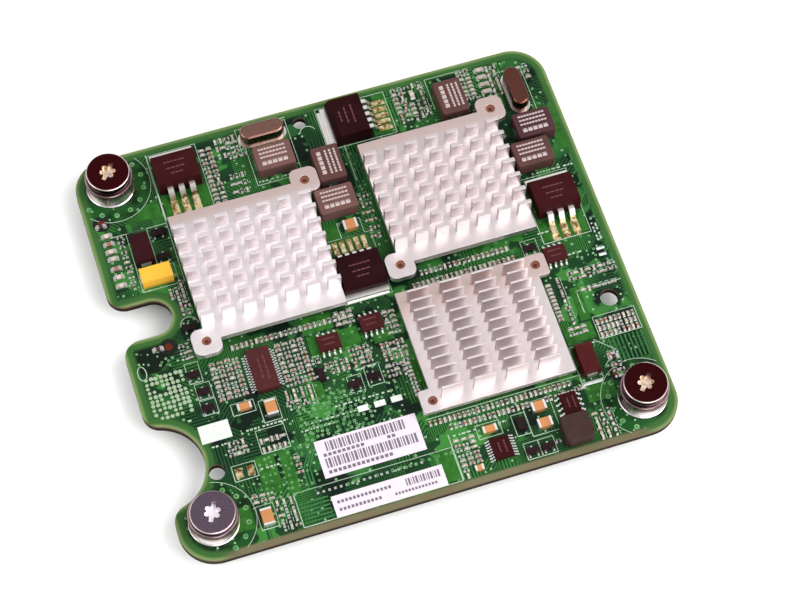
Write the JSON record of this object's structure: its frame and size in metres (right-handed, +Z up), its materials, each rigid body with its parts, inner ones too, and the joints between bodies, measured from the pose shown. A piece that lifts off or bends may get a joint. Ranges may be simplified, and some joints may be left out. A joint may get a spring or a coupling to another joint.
{
  "type": "mezzanine network card",
  "caption": "Small network card that lies flat over a server board, with finned heat sinks, spring-loaded corner screws and a connector underneath.",
  "frame": {"origin": "under the middle of the board's outline, on the connector's mating face, which is the lowest point", "axes": "+X along the front edge to the right, away from the edge with the two bays, +Y to the rear, +Z up from the board's component side"},
  "size_m": [0.113, 0.1016, 0.016],
  "materials": {
    "board": "green solder resist on glass-fibre laminate",
    "heat_sink": "bare extruded aluminium, satin",
    "thermal_pad": "soft grey gap filler",
    "grid_chip": "black moulding",
    "ferrule": "bright nickel plate",
    "spring": "spring wire",
    "screw": "dark bright plate",
    "screw_grey": "dark bright plate, seen grey",
    "regulator": "black moulding",
    "regulator_metal": "tin-plated copper",
    "terminal": "tin plate",
    "square_inductor": "dark ferrite",
    "inductor": "mauve-brown moulding",
    "crystal_can": "nickel-plated can",
    "crystal_base": "nickel-plated base",
    "tantalum_yellow": "yellow moulding",
    "tantalum_purple": "purple-black moulding",
    "tantalum_brown": "brown moulding",
    "lead": "tin plate",
    "chip": "black moulding",
    "ceramic": "fired ceramic",
    "connector": "black moulding",
    "contact": "gold plate",
    "sticker": "matt white label stock"
  },
  "bodies": {
    "card": {"ceramic_capacitors": "ceramic", "ceramic_ends": "terminal", "chip_16_lead": "chip", "chip_28_lead": "chip", "chip_8_lead_front": "chip", "chip_8_lead_left": "chip", "chip_8_lead_middle": "chip", "chip_8_lead_right": "chip", "chip_leads": "lead", "circuit_board": "board", "connector_contacts": "contact", "connector_housing": "connector", "crystal_base_rear": "crystal_base", "crystal_base_right": "crystal_base", "crystal_can_rear": "crystal_can", "crystal_can_right": "crystal_can", "ferrule_front_left": "ferrule", "ferrule_front_right": "ferrule", "ferrule_rear_left": "ferrule", "grid_chip_front": "grid_chip", "grid_chip_left": "grid_chip", "grid_chip_rear": "grid_chip", "heat_sink_front": "heat_sink", "heat_sink_left": "heat_sink", "heat_sink_rear": "heat_sink", "inductor_middle": "inductor", "inductor_rear_left": "inductor", "inductor_rear_middle": "inductor", "inductor_rear_right": "inductor", "inductor_right_lower": "inductor", "inductor_right_upper": "inductor", "inductor_terminals": "terminal", "regulator_body_middle": "regulator", "regulator_body_rear_left": "regulator", "regulator_body_rear_middle": "regulator", "regulator_body_right": "regulator", "regulator_frame_middle": "regulator_metal", "regulator_frame_rear_left": "regulator_metal", "regulator_frame_rear_middle": "regulator_metal", "regulator_frame_right": "regulator_metal", "square_inductor": "square_inductor", "sticker_square": "sticker", "sticker_strip": "sticker", "tantalum_brown": "tantalum_brown", "tantalum_purple": "tantalum_purple", "tantalum_terminals": "terminal", "tantalum_yellow": "tantalum_yellow", "thermal_pad_front": "thermal_pad", "thermal_pad_left": "thermal_pad", "thermal_pad_rear": "thermal_pad", "transistor_bodies": "chip", "transistor_leads": "lead"},
    "spring_rear_left": {"spring_rear_left": "spring"},
    "screw_rear_left": {"captive_screw_rear_left": "screw"},
    "spring_front_left": {"spring_front_left": "spring"},
    "screw_front_left": {"captive_screw_front_left": "screw_grey"},
    "spring_front_right": {"spring_front_right": "spring"},
    "screw_front_right": {"captive_screw_front_right": "screw"}
  },
  "joints": [
    {"name": "screw_travel_rear_left", "type": "slide", "parent": "card", "child": "spring_rear_left", "axis": [0, 0, 1], "range_m": [-0.0022, 0], "stiffness_N_per_m": 800, "springref_m": 0.0015, "deforming": ["spring_rear_left"]},
    {"name": "screw_spin_rear_left", "type": "hinge", "parent": "spring_rear_left", "child": "screw_rear_left", "pos_m": [-0.04845, 0.0433, 0.0072], "axis": [0, 0, 1], "continuous": true},
    {"name": "screw_travel_front_left", "type": "slide", "parent": "card", "child": "spring_front_left", "axis": [0, 0, 1], "range_m": [-0.001, 0.0012], "stiffness_N_per_m": 800, "deforming": ["spring_front_left"]},
    {"name": "screw_spin_front_left", "type": "hinge", "parent": "spring_front_left", "child": "screw_front_left", "pos_m": [-0.04845, -0.0421, 0.0072], "axis": [0, 0, 1], "continuous": true},
    {"name": "screw_travel_front_right", "type": "slide", "parent": "card", "child": "spring_front_right", "axis": [0, 0, 1], "range_m": [-0.0022, 0], "stiffness_N_per_m": 800, "springref_m": 0.0015, "deforming": ["spring_front_right"]},
    {"name": "screw_spin_front_right", "type": "hinge", "parent": "spring_front_right", "child": "screw_front_right", "pos_m": [0.04895, -0.0421, 0.0072], "axis": [0, 0, 1], "continuous": true}
  ]
}
